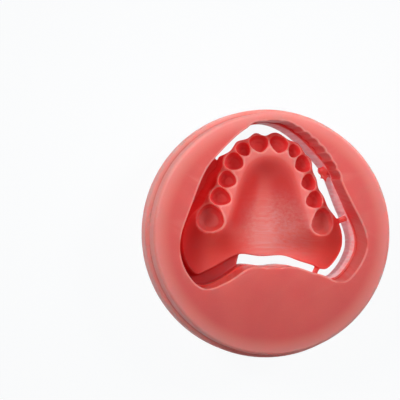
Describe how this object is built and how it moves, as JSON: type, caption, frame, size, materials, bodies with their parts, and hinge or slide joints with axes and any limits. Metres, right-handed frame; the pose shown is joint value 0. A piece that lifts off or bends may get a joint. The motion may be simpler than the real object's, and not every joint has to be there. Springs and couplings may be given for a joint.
{
  "type": "milled denture base disc",
  "caption": "Stepped round resin disc with a clamping flange, milled into an upper denture base with tooth sockets that still hangs in its pocket.",
  "frame": {"origin": "centre of the disc's back face, on which it lies", "axes": "+Z along the disc's axis towards the tooth side, +Y towards the front teeth"},
  "size_m": [0.0984, 0.0984, 0.03],
  "materials": {
    "denture_resin": "pink denture base resin, slightly translucent, milled satin"
  },
  "bodies": {
    "root": {"milled_disc": "denture_resin"}
  },
  "joints": []
}
